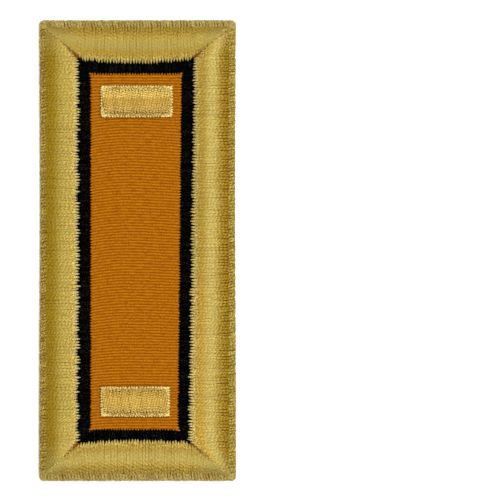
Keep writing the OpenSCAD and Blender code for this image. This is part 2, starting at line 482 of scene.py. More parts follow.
def spun_thread_group():
    """A thread's own tone and the streaks along it, painted shade at its root and on its sides, a tip
    colour that paints light and shade on its tip, painted glints near it, and the twist of its strands
    with painted shade in its grooves."""
    colours, values = dict.fromkeys(THREAD_COLOURS, "Color"), dict.fromkeys(THREAD_VALUES, "Float")
    outputs = {"Color": "Color", "Roughness": "Float", "Normal": "Vector"}
    nodes, given = new_group("spun_thread", "ShaderNodeTree", {**colours, **values}, outputs)
    tone, along, share, whole = (nodes.attribute(name) for name in ("tone", "along", "share", "whole"))
    side, top, _ = nodes.parted(nodes.attribute("around", "Vector"))
    streak_at = nodes.xyz(
        along / given("Streak Length"), tone * STREAKS_APART, side * STREAKS_ACROSS)
    streak = nodes.noise(streak_at, detail=2.0)
    own_twist = nodes.mix(nodes.math("FRACT", tone * TWIST_DRAW), *TWIST_SPREAD)
    turns = along / given("Twist Length") * own_twist + tone * STRANDS_APART + streak * STREAK_TURNS
    strand = nodes.math("SINE", turns * math.tau + nodes.math("ARCTAN2", top, side))
    groove = (1.0 - strand) * 0.5

    contrast = 1.0 - nodes.ramp(abs(share - 0.5), *CALM_FADE, given("Middle Calm"), 0.0)
    streak_tone = nodes.ramp(streak, *NOISE_RANGE, *STREAK_TONES)
    varied = (tone - 0.5) * given("Tone Spread") + streak_tone
    # Painted shade near a stitch's start, which a root shade below 0 turns to painted light. It fades on
    # short stitches, as the tip colour and glints do.
    full = nodes.ramp(whole, given("Full Length") * 0.5, given("Full Length"), 0.1, 1.0)
    root = nodes.ramp(share, 0.0, given("Root Reach"), given("Root Shade"), 0.0) * full
    light = (varied * contrast + given("Level") - root).at_most(1.0).at_least(0.0)
    colour = nodes.mix_colour(light, given("Dark"), given("Light"))

    # The tip colour paints light and shade over a stitch's tip, and painted glints crowd at its very end
    to_tip = 1.0 - share
    even_reach = given("Tip Reach") * TIP_EVEN_SHARE
    tip = nodes.ramp(to_tip, even_reach, given("Tip Reach"), given("Tip Share"), 0.0)
    tip = tip * nodes.ramp(streak, *TIP_NOISE, 0.5, 1.0) * full
    colour = nodes.mix_colour(tip, colour, given("Tip"))
    catches_light = streak + nodes.ramp(to_tip, 0.0, GLINT_BOOST_REACH, GLINT_BOOST, 0.0)
    glint = nodes.ramp(to_tip, *GLINT_FADE, given("Glint Share"), 0.0) * full
    glint = glint * nodes.ramp(catches_light, *GLINT_NOISE)
    colour = nodes.mix_colour(glint, colour, given("Glint"))

    # Painted shade in the grooves of the twist and on the thread's sides, taken away beside glints and
    # on the tips
    unshading = (glint * GLINT_UNSHADING).at_least(tip * given("Tip Clean"))
    painted_groove_shade = groove ** GROOVE_CURVE * given("Twist Depth") * contrast * (1.0 - unshading)
    beside = nodes.ramp(abs(side), *SIDE_FADE, 0.0, given("Side Shade"))
    painted_groove_shade = painted_groove_shade.at_least(beside * contrast)
    nodes.add("NodeGroupOutput", {
        "Color": nodes.mix_colour(painted_groove_shade, colour, given("Deep")),
        "Roughness": nodes.ramp(streak, *NOISE_RANGE, *STREAK_ROUGHNESS),
        "Normal": nodes.bump(given("Relief"), STRAND_HEIGHT, streak * STREAK_HEIGHT - groove),
    })
    return nodes.tree


def new_material(name):
    """A material, its nodes and its shader."""
    material = bpy.data.materials.new(name)
    material.use_nodes = True
    return material, Nodes(material.node_tree), material.node_tree.nodes["Principled BSDF"]


def titled(changes):
    """Values by the names of their sockets, which have capitals and spaces."""
    return {name.replace("_", " ").title(): value for name, value in changes.items()}


def thread_material(name, group, shine, **changes):
    """A material of spun thread. Where no change names another colour, it has its light one. Returns
    its nodes and its thread group too."""
    material, nodes, shader = new_material(name)
    values = {**THREAD_VALUES, **titled(changes)}
    light = values["Light"]
    values.update({label: srgb(*values.get(label, light)) for label in THREAD_COLOURS})
    thread = nodes.add("ShaderNodeGroup", values, node_tree=group)
    painted = {label: Wire(nodes, socket) for label, socket in thread.outputs.items()}
    nodes.feed(shader, {"Base Color": painted.pop("Color"), **painted, **shine})
    return material, nodes, thread


def padding_material(name, colour):
    """Packed thread under the stitches, seen only in the gaps between them."""
    material, nodes, shader = new_material(name)
    speckle = nodes.noise(nodes.on_object(), scale=4.0 / MM, detail=3.0)
    deep = (*(PADDING_SHADE * part for part in colour[:3]), 1)
    nodes.feed(shader, {
        "Base Color": nodes.mix_colour(nodes.ramp(speckle, *MOST_NOISE), deep, colour),
        "Normal": nodes.bump(strength=0.5, distance=0.05 * MM, height=speckle),
        "Roughness": 0.7,
        "Specular IOR Level": 0.1,
    })
    return material


# How far the noise of the ribbon's fibres and dashes moves on, the fibres' to a warp thread and the
# others over its width and its length
FIBRES_ACROSS = 0.42
FIBRES_ALONG = 300.0
DASHES_ACROSS = 12.0
DASHES_ALONG = 250.0
# The ribbon goes from its deep colour to its bright one between these heights of a rib, painted shade in
# the grooves and painted light on the crests, and these factors of its fibres and its warp and these
# steps of its dashes make it lighter or darker
RIB_BRIGHTENING = (0.35, 1.0)
FIBRE_LIGHT = (0.25, 1.3)
WARP_LIGHT = (0.82, 1.0)
DASH_LIGHT = (-0.2, 0.2)


def ribbon_material():
    """Ribbed ribbon: painted light on the ribs, painted shade between them, with its fine warp running
    over them.
    """
    material, nodes, shader = new_material("ribbed_ribbon")
    rib = nodes.attribute("rib")
    across, along, _ = nodes.parted(nodes.attribute("weave", "Vector"))
    warp = abs(nodes.math("SINE", across * (WARP_THREADS * math.pi)))
    fibre_at = nodes.xyz(across * (FIBRES_ACROSS * WARP_THREADS), along * FIBRES_ALONG)
    fibre = nodes.noise(fibre_at, detail=2.0)
    dash = nodes.noise(nodes.xyz(across * DASHES_ACROSS, along * DASHES_ALONG, 3.0), detail=2.0)
    light = nodes.ramp(rib, *RIB_BRIGHTENING) * nodes.ramp(fibre, *NOISE_RANGE, *FIBRE_LIGHT)
    light = (light + nodes.ramp(dash, *MOST_NOISE, *DASH_LIGHT)).at_least(0.0)
    light = light * nodes.mix(warp, *WARP_LIGHT)
    nodes.feed(shader, {
        "Base Color": nodes.mix_colour(light, srgb(126, 66, 0), srgb(178, 107, 8)),
        "Normal": nodes.bump(strength=0.5, distance=0.03 * MM, height=warp + fibre * 0.5),
        "Roughness": 0.6,
        "Specular IOR Level": 0.12,
        "Specular Tint": (1.0, 0.7, 0.25, 1.0),
    })
    return material


def felt_material():
    """Pressed wool: matted fibres in two sizes."""
    material, nodes, shader = new_material("black_felt")
    place = nodes.on_object()
    matted = nodes.noise(place, scale=1.2 / MM, detail=4.0)
    fibres = nodes.noise(place, scale=9.0 / MM, detail=3.0)
    light = nodes.ramp(nodes.mix(0.5, matted, fibres), *MOST_NOISE)
    nodes.feed(shader, {
        "Base Color": nodes.mix_colour(light, srgb(9, 9, 10), srgb(34, 33, 34)),
        "Normal": nodes.bump(strength=0.8, distance=0.12 * MM, height=matted + fibres * 0.5),
        "Roughness": 0.95,
        "Sheen Weight": 0.3,
        "Sheen Roughness": 0.6,
    })
    return material


# Shapes


def mix(a, b, share):
    return a + (b - a) * share


def clamp(value, low=0.0, high=1.0):
    return min(max(value, low), high)


def smooth(share):
    share = clamp(share)
    return share * share * (3 - 2 * share)


def corner(node, side_x, side_y):
    """A CAD node's furthest point in plan towards one corner."""
    points = (vertex.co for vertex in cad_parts[node].data.vertices)
    return max(points, key=lambda p: side_x * p.x + side_y * p.y).to_2d()


def top_at(node, axis, value):
    """How high a CAD node reaches where its x or y is this value."""
    points = (vertex.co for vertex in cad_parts[node].data.vertices)
    return max(p.z for p in points if abs(p[axis] - value) < 0.01 * MM)


CORNERS = [(side_x, side_y) for side_x in (-1, 1) for side_y in (-1, 1)]
# Each side's first and last corner, walked clockwise, so that inwards is to the right
SIDES = {
    "top": ((-1, 1), (1, 1)),
    "right": ((1, 1), (1, -1)),
    "bottom": ((1, -1), (-1, -1)),
    "left": ((-1, -1), (-1, 1)),
}
# A stitch's reach is found by halving this often
HALVINGS = 24


class Run:
    """One side of a frame of stitches, mitred at both ends. A place on it is a distance along its outer
    rail and a depth inwards from it. A bow moves the middle of a rail inwards. Near the mitres the
    stitches fan by up to a slope. They lap over the mitre towards its outer end, and stop short of it
    towards its inner end, by a gap and up to a ragged length more."""

    def __init__(self, side, outer, inner, outer_bow=0.0, inner_bow=0.0, fan=0.0, lap=0.0):
        first, last = SIDES[side]
        self.start = outer[first]
        self.along = outer[last] - outer[first]
        self.length = self.along.length
        self.along.normalize()
        self.inward = Vector((self.along.y, -self.along.x))
        near, far = inner[first] - self.start, inner[last] - self.start
        self.near = (near.dot(self.along), near.dot(self.inward))
        self.far = (far.dot(self.along), far.dot(self.inward))
        self.outer_bow, self.inner_bow, self.fan = outer_bow, inner_bow, fan
        self.lap, self.gap, self.mitre_ragged = lap, 0.0, 0.0

    def place(self, at, deep):
        return self.start + self.along * at + self.inward * deep

    def shallowest(self, at):
        share = clamp(at / self.length)
        return self.outer_bow * 4 * share * (1 - share)

    def deepest(self, at):
        share = clamp((at - self.near[0]) / (self.far[0] - self.near[0]))
        return mix(self.near[1], self.far[1], share) + self.inner_bow * 4 * share * (1 - share)

    def slope(self, at):
        return self.fan * (math.exp(-at / FAN_LENGTH) - math.exp(-(self.length - at) / FAN_LENGTH))

    def mitre_distance(self, at, deep):
        """How far a place is from the nearer mitre. It is below 0 past the mitre."""
        (near_at, near_deep), (far_at, far_deep) = self.near, self.far
        left, far_left = self.length - at, self.length - far_at
        return min(
            (at * near_deep - deep * near_at) / math.hypot(near_at, near_deep),
            (left * far_deep - deep * far_left) / math.hypot(far_left, far_deep),
        )

    def reach(self, at):
        """How deep a stitch from this place goes until it meets the inner rail or a mitre."""
        slope = self.slope(at)
        inside, outside = 0.0, 2 * (self.near[1] + self.far[1])
        for _ in range(HALVINGS):
            deep = (inside + outside) / 2
            here = at + slope * deep
            inwards = clamp(deep / self.deepest(here)) ** MITRE_LAP_CURVE
            lap = mix(self.lap, -self.gap, inwards)
            if deep < self.deepest(here) and self.mitre_distance(here, deep) > -lap:
                inside = deep
            else:
                outside = deep
        return inside

    def grid(self, height, columns, rows, before=0.0, overhang=(0.0, 0.0), lower=0.0, ragged=0.0,
             seed=0):
        """Points over the run. The height function takes the run, a distance along and a depth. The
        overhang past the inner rail goes from one value to another along the run, and each column falls
        short of it by up to the ragged length."""
        grid = []
        chance = random.Random(seed)
        for i in range(columns + 1):
            at = mix(RUN_MARGIN, self.length - RUN_MARGIN, i / columns)
            slope, reach = self.slope(at), self.reach(at)
            from_mitre = self.mitre_distance(at + slope * reach, reach)
            first = self.shallowest(at) - before
            short = chance.random()
            beyond = mix(*overhang, i / columns) - ragged * short
            off_mitre = smooth(from_mitre / OVERHANG_FADE)
            last = reach + mix(-self.mitre_ragged * short, beyond, off_mitre)
            column = []
            for j in range(rows + 1):
                deep = mix(first, last, j / rows)
                here = at + slope * deep
                column.append(Vector((*self.place(here, deep), height(self, here, deep) - lower)))
            grid.append(column)
        return grid


def rounded_loop(low, high, radius, count):
    """Points spaced evenly round a rectangle with round corners. The last is the first again."""
    arc_steps = 12
    outline = []
    for turn, (side_x, side_y) in enumerate(((1, 1), (-1, 1), (-1, -1), (1, -1))):
        centre_x = high.x - radius if side_x > 0 else low.x + radius
        centre_y = high.y - radius if side_y > 0 else low.y + radius
        for step in range(arc_steps + 1):
            angle = math.radians(90 * (turn + step / arc_steps))
            x, y = centre_x + radius * math.cos(angle), centre_y + radius * math.sin(angle)
            outline.append(Vector((x, y)))
    outline.append(outline[0])
    reached = [0.0]
    for a, b in zip(outline, outline[1:]):
        reached.append(reached[-1] + (b - a).length)
    points, piece = [], 0
    for i in range(count + 1):
        target = reached[-1] * i / count
        while piece < len(outline) - 2 and reached[piece + 1] < target:
            piece += 1
        share = (target - reached[piece]) / (reached[piece + 1] - reached[piece])
        points.append(outline[piece].lerp(outline[piece + 1], clamp(share)))
    return points


def nearest_inside(point, low, high):
    return Vector((clamp(point.x, low.x, high.x), clamp(point.y, low.y, high.y)))


# Meshes and pieces

# Points nearer to each other than this are merged
MERGE_DISTANCE = 0.0005 * MM


def new_object(name, data):
    thing = bpy.data.objects.new(name, data)
    bpy.context.collection.objects.link(thing)
    return thing


def guide_sheet(grid):
    """A sheet through a grid of points, whose map runs from 0 to 1 both ways. Its front faces up where
    its columns go clockwise and each runs inwards, or both the other way."""
    across, down = len(grid) - 1, len(grid[0]) - 1
    points = [point for column in grid for point in column]
    faces = []
    for i in range(across):
        for j in range(down):
            a = i * (down + 1) + j
            faces.append((a, a + 1, a + down + 2, a + down + 1))
    mesh = bpy.data.meshes.new("guide")
    mesh.from_pydata(points, [], faces)
    mesh.shade_smooth()
    layer = mesh.attributes.new("guide", "FLOAT_VECTOR", "POINT")
    for number, value in enumerate(layer.data):
        value.vector = (number // (down + 1) / across, number % (down + 1) / down, 0)
    return new_object("guide", mesh)


def solid_from(shape, name, material):
    """An object from a bmesh, with its doubles merged and its faces turned outwards."""
    bmesh.ops.remove_doubles(shape, verts=shape.verts, dist=MERGE_DISTANCE)
    bmesh.ops.dissolve_degenerate(shape, edges=shape.edges, dist=MERGE_DISTANCE)
    bmesh.ops.recalc_face_normals(shape, faces=shape.faces)
    mesh = bpy.data.meshes.new(name)
    shape.to_mesh(mesh)
    shape.free()
    mesh.shade_smooth()
    mesh.materials.append(material)
    return new_object(name, mesh)


def closed_pad(grid, base, material, closed_loop=False):
    """A solid from a grid of points to a flat face at a height."""
    across, down = len(grid) - 1, len(grid[0]) - 1
    shape = bmesh.new()
    top = [[shape.verts.new(point) for point in column] for column in grid]
    flat = [[shape.verts.new((point.x, point.y, base)) for point in column] for column in grid]
    for i in range(across):
        for j in range(down):
            shape.faces.new((top[i][j], top[i][j + 1], top[i + 1][j + 1], top[i + 1][j]))
            shape.faces.new((flat[i][j], flat[i + 1][j], flat[i + 1][j + 1], flat[i][j + 1]))
        for j in (0, down):
            shape.faces.new((top[i][j], top[i + 1][j], flat[i + 1][j], flat[i][j]))
    if not closed_loop:
        for i in (0, across):
            for j in range(down):
                shape.faces.new((top[i][j], top[i][j + 1], flat[i][j + 1], flat[i][j]))
    return solid_from(shape, "padding", material)


def tube(sections, material):
    """A closed ring through sections that each go round once. The last section is the first again."""
    shape = bmesh.new()
    rings = [[shape.verts.new(point) for point in section] for section in sections]
    count = len(rings[0])
    for ring, following in zip(rings, rings[1:]):
        for j in range(count):
            after = (j + 1) % count
            shape.faces.new((ring[j], ring[after], following[after], following[j]))
    return solid_from(shape, "tube", material)


def close_below(mesh, base):
    """Gives an open sheet walls down to a flat underside."""
    shape = bmesh.new()
    shape.from_mesh(mesh)
    edges = [edge for edge in shape.edges if edge.is_boundary]
    walls = bmesh.ops.extrude_edge_only(shape, edges=edges)["geom"]
    for vertex in (item for item in walls if isinstance(item, bmesh.types.BMVert)):
        vertex.co.z = base
    edges = [item for item in walls if isinstance(item, bmesh.types.BMEdge) and item.is_boundary]
    bmesh.ops.edgeloop_fill(shape, edges=edges)
    bmesh.ops.recalc_face_normals(shape, faces=shape.faces)
    shape.to_mesh(mesh)
    shape.free()


def grid_of(columns, rows, point_at):
    """Columns of points. The function takes how far across and how far down it is, from 0 to 1."""
    return [[point_at(i / columns, j / rows) for j in range(rows + 1)] for i in range(columns + 1)]


def laid_over(tree, grid, settings):
    """A plain mesh of what a tree makes over a grid of points."""
    guide = guide_sheet(grid)
    modifier = guide.modifiers.new("tree", "NODES")
    modifier.node_group = tree
    inputs = (item for item in tree.interface.items_tree if item.in_out == "INPUT")
    sockets = {item.name: item.identifier for item in inputs}
    for label, value in settings.items():
        modifier[sockets[label]] = value
    graph = bpy.context.evaluated_depsgraph_get()
    mesh = bpy.data.meshes.new_from_object(
        guide.evaluated_get(graph), preserve_all_data_layers=True, depsgraph=graph)
    guide.modifiers.remove(modifier)
    spent = guide.data
    bpy.data.objects.remove(guide)
    bpy.data.meshes.remove(spent)
    return new_object("laid", mesh)


def stitched(tree, grid, material, seed, length, pitch, **changes):
    """A row of satin stitches over a grid of points."""
    return laid_over(tree, grid, {
        **STITCH_VALUES,
        "Stitches": round(length / pitch),
        "Sides": THREAD_SIDES,
        "Seed": seed,
        "Material": material,
        **titled(changes),
    })


def finished(name, replaced, things):
    """One piece joined from things, which rides on the board and stands for a CAD solid."""
    piece = things[0]
    if len(things) > 1:
        with bpy.context.temp_override(active_object=piece, selected_editable_objects=things):
            bpy.ops.object.join()
    piece.name = piece.data.name = name
    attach(piece, "root")
    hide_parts(replaced)
    return piece


# The board's own sizes, beside those of its CAD solids

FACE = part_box("field")[0].z
FIELD_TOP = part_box("field")[1].z
LINE_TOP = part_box("inner_line")[1].z

# The seeds of the rolls', the rim's, the line's and the bars' stitches, and how far apart those of two
# sides, of two bars, and of a bar's rim and its fill lie
ROLL_SEED = 0
RIM_SEED = 500
LINE_SEED = 1000
BAR_SEED = 2000
SEED_STEP = 100
BAR_FILL_SEED_STEP = 50
# A thread's section has this many sides
THREAD_SIDES = 5
# Padding lies this far below the stitches over it
PAD_DEPTH = 0.12 * MM
# Over about this length from a run's ends its stitches fan
FAN_LENGTH = 4.0 * MM
# A run's first and last stitches keep this far from its ends
RUN_MARGIN = 0.12 * MM
# Nearer to a mitre than this, stitches reach less and less past the inner rail
OVERHANG_FADE = 0.5 * MM

ROLL_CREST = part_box("border_left")[1].z
ROLL_OUTER_FOOT = top_at("border_left", 0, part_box("border_left")[0].x) + 0.35 * MM
# How much of a roll's width lies between the rim and its crest, and the power by which the roll falls
# from its crest to its outer foot
SIDE_CREST_SHARE = 0.6
END_CREST_SHARE = 0.46
SIDE_OUTER_CURVE = 2.4
END_OUTER_CURVE = 3.0
# The same power from the crest to the shoulder over the line, and how far the shoulder lies below it
INNER_CURVE = 3.0
SHOULDER_DROP = 0.35 * MM
SHOULDER_ROWS = 2
# The shoulder's rows move outwards by this, so that none stands under the one above it
SHOULDER_LEAN = 0.03 * MM
# The two end rolls' inner edges bow, and the stitches of all four fan near the mitres by this slope
ROLL_BOW = {"top": 0.8 * MM, "bottom": 0.6 * MM}
ROLL_FAN = 0.35
ROLL_PITCH = 0.325 * MM
ROLL_ROWS = 26
ROLL_PAD_STEP = 0.5 * MM
ROLL_PAD_ROWS = 16
# How high the tips' ends lie over the line
ROLL_TIP_LIFT = 0.05 * MM
# A roll's padding stops this far before the line, and its stitches start this far out under the rim
PAD_SHORT = 0.5 * MM
START_OVERLAP = 0.55 * MM
# How far the tips reach over the black line, at the start and at the end of each side
TIP_REACH = {
    "top": (0.6 * MM, 0.6 * MM),
    "right": (0.18 * MM, 0.75 * MM),
    "bottom": (0.54 * MM, 0.08 * MM),
    "left": (0.51 * MM, 0.51 * MM),
}
TIP_RAGGED = {"top": 0.4 * MM, "right": 0.55 * MM, "bottom": 0.35 * MM, "left": 0.8 * MM}
# How strongly the stitches are gathered in pairs past the rim, and how far that reaches and how ragged
# they start, as shares of a stitch
START_GATHER = {"top": 0.8, "right": 1.0, "bottom": 0.8, "left": 0.55}
START_REACH = {"top": 0.2, "right": 0.28, "bottom": 0.18, "left": 0.12}
START_RAGGED = {"top": 0.1, "right": 0.09, "bottom": 0.1, "left": 0.04}
THREAD_RADIUS = {"top": 0.24 * MM, "right": 0.228 * MM, "bottom": 0.24 * MM, "left": 0.23 * MM}
# Near its outer end a roll laps over the mitre. Near its inner end it stops short, by a gap and at
# most this raggedness more, and dips into a valley.
MITRE_LAP = 0.5 * MM
MITRE_LAP_CURVE = 1.4
# Towards the mitres the crest moves to halfway between the side rolls' and the end rolls', by this power
MITRE_CREST_CURVE = 6
MITRE_GAP = 0.1 * MM
MITRE_RAGGED = 0.45 * MM
MITRE_VALLEY = 0.55 * MM
MITRE_VALLEY_WIDTH = 0.45 * MM
MITRE_VALLEY_CURVE = 4

LINE_PITCH = 0.3 * MM
LINE_ROWS = 12
LINE_PAD_STEP = 0.6 * MM
LINE_PAD_ROWS = 6
# How far and by which power the line's dome falls to its rails
LINE_FALL = 0.12 * MM
LINE_FALL_CURVE = 4
# How high the line's tips lie on the ribbon, and how soon they do
LINE_TIP_LIFT = 0.08 * MM
LINE_TIP_FALL = 0.2 * MM
# How far the line's stitches reach over the ribbon, at the start and at the end of each side
LINE_REACH = {
    "top": (0.34 * MM, 0.34 * MM),
    "right": (0.22 * MM, 0.36 * MM),
    "bottom": (0.34 * MM, 0.34 * MM),
    "left": (0.32 * MM, 0.36 * MM),
}

RIM_PITCH = 0.33 * MM
RIM_COLUMNS = 640
RIM_ROWS = 22
RIM_CORNER = 0.9 * MM
# The board narrows by this much a side near a place along it
RIM_WAIST = 0.2 * MM
WAIST_MIDDLE = 11.0 * MM
WAIST_LENGTH = 33.0 * MM
# The rim's threads lie this far inside its solid, at its edge and on the floor
RIM_INSET = 0.26 * RIM_PITCH
RIM_SUNK = 0.68 * RIM_PITCH
# A rim stitch first climbs from the roll's foot, between these shares of the rim's width
RIM_LIP_ROWS = 5
RIM_LIP = (-0.12, 0.5)
RIM_FOOT_LIFT = 0.05 * MM
# It then turns round the edge, through a squarish section, from its top to its underside, in degrees
RIM_TOP_ANGLE = 90
RIM_LAST_ANGLE = -158
RIM_SQUARENESS = 0.75
# The rim's solid core, as a share of its stitches' section
RIM_CORE = 0.9
# How far from the board's middle its two end rims begin, and how soon their painted lighter colours take
# over there
EDGE_END = 49.3 * MM
EDGE_END_FADE = 0.6 * MM
# Between these heights painted shade darkens the rim's thread as it turns down round the edge
RIM_TURN = (1.2 * MM, 2.1 * MM)
# The right roll's painted tip colour and glints change between these places along the board
RIGHT_TIPS_CHANGE = (-30 * MM, 10 * MM)

BAR_PITCH = 0.3 * MM
BAR_FILL_PITCH = 0.33 * MM
BAR_PAD_DEPTH = 0.14 * MM
# How wide a bar's rim is on its ends and along its sides
BAR_RIM_WIDTH = Vector((1.55 * MM, 1.1 * MM))
BAR_CORNER = 0.12 * MM
# The rim's stitches fan round a bar's corners over this length
BAR_FAN = 0.9 * MM
# How far past the solid's edge the stitches and their padding reach
BAR_TIP_REACH = -0.05 * MM
BAR_TIP_RAGGED = 0.12 * MM
BAR_PAD_REACH = -0.2 * MM
BAR_RIM_COLUMNS = 300
BAR_RIM_ROWS = 14
BAR_PAD_ROWS = 8
BAR_FILL_COLUMNS = 40
BAR_FILL_ROWS = 14
BAR_RIM_SEED = 5
# The rim's section is this part of an arch, whose foot lies this far above the ribbon
BAR_RIM_ARCH = (0.4, 0.68)
BAR_RIM_FOOT = 0.1 * MM
# The fill starts this far below the rim's top, and reaches this far under the rim
BAR_FILL_DROP = 0.05 * MM
BAR_FILL_TUCK = Vector((0.5 * MM, 0.3 * MM, 0))
# The share of a bar's length over which its fill rises from this share of its height
BAR_FILL_ARCH = 0.8
BAR_FILL_END = 0.06
BAR_FILL_END_RISE = 0.35

RIB_PITCH = 0.64 * MM
RIB_STEPS = 6
RIB_COLUMNS = 44
WARP_PITCH = 0.16 * MM
WARP_THREADS = round((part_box("field")[1].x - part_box("field")[0].x) / WARP_PITCH)
RIBBON_TUCK = 0.3 * MM
RIBBON_GUIDE_COLUMNS = 60
RIBBON_GUIDE_ROWS = 170
# The ribs arch from a crown a little left of the middle. Each side falls by so much at the ribbon's
# edge, along a curve of this power. It falls by a least share of it at the lower end, from where the
# ribs open over a length, and they open from nothing at the upper end.
RIB_CROWN = -2.2 * MM
RIB_SIDES = {
    "left": {"fall": 0.78 * MM, "power": 2, "least": 0.5, "opening": 32 * MM},
    "right": {"fall": 0.5 * MM, "power": 1.5, "least": 0.1, "opening": 46 * MM},
}
RIB_TOP_OPENING = 11 * MM
# A bar's stitches pull the ribbon down by this depth and within this distance
BAR_PULL_DEPTH = 0.14 * MM
BAR_PULL_WIDTH = 0.35 * MM

FELT_EDGE = 0.25 * MM
FELT_PIT_DEPTH = 0.07 * MM
FELT_PIT_SIZE = 1.4 * MM
FELT_COLUMNS = 80
FELT_ROWS = 190


def board_corners():
    """The corners in plan of the three nested rectangles that the stitched frames run between."""
    roll_x = {-1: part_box("border_left")[0].x, 1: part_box("border_right")[1].x}
    roll_y = {-1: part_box("border_bottom")[0].y, 1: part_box("border_top")[1].y}
    roll = {(x, y): Vector((roll_x[x], roll_y[y])) for x, y in CORNERS}
    line = {key: corner("inner_line", *key) for key in CORNERS}
    field = {key: corner("field", *key) for key in CORNERS}
    return roll, line, field


# The gold roll


def roll_height(run, at, deep):
    """The padded roll's dome, its shoulder over the black line, and the valley along each mitre."""
    share = deep / run.deepest(at)
    at_mitre = abs(2 * clamp(at / run.length) - 1) ** MITRE_CREST_CURVE
    crest_share = mix(run.crest_share, (SIDE_CREST_SHARE + END_CREST_SHARE) / 2, at_mitre)
    if share < crest_share:
        climbed = 1 - (1 - clamp(share / crest_share)) ** run.outer_curve
        height = mix(ROLL_OUTER_FOOT, ROLL_CREST, climbed)
    else:
        past_crest = (share - crest_share) / (1 - crest_share)
        height = ROLL_CREST - SHOULDER_DROP * past_crest ** INNER_CURVE
    height += min(deep, 0)
    gap = max(run.mitre_distance(at, deep), 0)
    valley = clamp(share) ** MITRE_VALLEY_CURVE * math.exp(-((gap / MITRE_VALLEY_WIDTH) ** 2))
    return height - MITRE_VALLEY * valley


def add_shoulder(grid, foot):
    """Turns the inner end of each column straight down to a height."""
    for column in grid:
        tip = column[-1]
        outwards = (tip - column[-2]).normalized() * SHOULDER_LEAN
        for row in range(1, SHOULDER_ROWS + 1):
            point = tip + outwards * row
            point.z = mix(tip.z, foot, row / SHOULDER_ROWS)
            column.append(point)


def make_rolls(satin, finishes, roll, line):
    for number, side in enumerate(SIDES):
        at_end = side in ROLL_BOW
        run = Run(side, roll, line, inner_bow=ROLL_BOW.get(side, 0.0), fan=ROLL_FAN, lap=MITRE_LAP)
        run.crest_share = END_CREST_SHARE if at_end else SIDE_CREST_SHARE
        run.outer_curve = END_OUTER_CURVE if at_end else SIDE_OUTER_CURVE
        node = "border_" + side
        columns = round(run.length / ROLL_PAD_STEP)
        short = (-PAD_SHORT, -PAD_SHORT)
        grid = run.grid(roll_height, columns, ROLL_PAD_ROWS, overhang=short, lower=PAD_DEPTH)
        pad = closed_pad(grid, FACE, finishes["gold_padding"])
        finished(node + "_padding", node, [pad])

        run.gap, run.mitre_ragged = MITRE_GAP, MITRE_RAGGED
        columns = round(run.length / ROLL_PITCH)
        grid = run.grid(
            roll_height, columns, ROLL_ROWS, before=START_OVERLAP, overhang=TIP_REACH[side],
            ragged=TIP_RAGGED[side], seed=number)
        add_shoulder(grid, LINE_TOP + ROLL_TIP_LIFT)
        stitches = stitched(
            satin, grid, finishes["gold_" + side], ROLL_SEED + number * SEED_STEP, run.length,
            ROLL_PITCH, points=14, thread_radius=THREAD_RADIUS[side],
            gather_start=START_GATHER[side], gather_end=1.0, start_reach=START_REACH[side],
            end_reach=0.2, ragged_start=START_RAGGED[side], waver=0.65, lift_spread=0.035 * MM,
            dive_depth=0.04 * MM, tip_taper=0.16)
        finished(node + "_stitches", node, [stitches])


# The stitched edge


def squarish(part):
    """A sine or cosine, whose circle it turns into a rounded square."""
    return math.copysign(abs(part) ** RIM_SQUARENESS, part)


def rim_section(outer, inner, low, high):
    """Where a stitch goes that wraps the edge, from the roll's foot round to the underside."""
    section = []
    for j in range(RIM_LIP_ROWS):
        share = j / RIM_LIP_ROWS
        plan = inner.lerp(outer, mix(*RIM_LIP, share))
        section.append(Vector((*plan, mix(ROLL_OUTER_FOOT + RIM_FOOT_LIFT, high, smooth(share)))))
    rows = RIM_ROWS - RIM_LIP_ROWS
    for j in range(rows + 1):
        angle = math.radians(mix(RIM_TOP_ANGLE, RIM_LAST_ANGLE, j / rows))
        plan = inner.lerp(outer, 0.5 + 0.5 * squarish(math.cos(angle)))
        section.append(Vector((*plan, mix(low, high, 0.5 + 0.5 * squarish(math.sin(angle))))))
    return section


def make_rim(satin, finishes, roll):
    low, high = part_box("edge_rim")
    inner_low, inner_high = roll[(-1, -1)], roll[(1, 1)]
    loop = rounded_loop(low, high, RIM_CORNER, RIM_COLUMNS)
    grid, core = [], []
    for outer in loop:
        inner = nearest_inside(outer, inner_low, inner_high)
        waist = RIM_WAIST * math.exp(-(((outer.y - WAIST_MIDDLE) / WAIST_LENGTH) ** 2))
        waist *= abs(outer.x) > inner_high.x
        outer = outer - (outer - inner).normalized() * RIM_INSET
        outer.x -= math.copysign(waist, outer.x)
        section = rim_section(outer, inner, low.z + RIM_SUNK, high.z - RIM_INSET)
        middle = Vector((*outer.lerp(inner, 0.5), (low.z + high.z) / 2))
        grid.append(section)
        core.append([middle.lerp(point, RIM_CORE) for point in section])
    length = sum((b - a).length for a, b in zip(loop, loop[1:]))
    stitches = stitched(
        satin, grid, finishes["gold_edge"], RIM_SEED, length, RIM_PITCH,
        points=13, closed_loop=1.0, thread_radius=0.58 * RIM_PITCH, slant=2.6, gather_end=0.5,
        start_reach=0.4, tip_taper=0.02, lift_spread=0.12 * MM, waver=1.1, dive_end=0.08,
        ragged_start=0.1)
    things = [stitches, tube(core, finishes["gold_padding"])]
    finished("edge_rim_stitches", "edge_rim", things)


# The black line


def line_height(run, at, deep):
    """The line's low dome, and the drop to the field past its inner rail."""
    shallow, whole = run.shallowest(at), run.deepest(at)
    share = (deep - shallow) / (whole - shallow)
    height = LINE_TOP - LINE_FALL * abs(2 * clamp(share) - 1) ** LINE_FALL_CURVE
    return mix(height, FIELD_TOP + LINE_TIP_LIFT, smooth((deep - whole) / LINE_TIP_FALL))


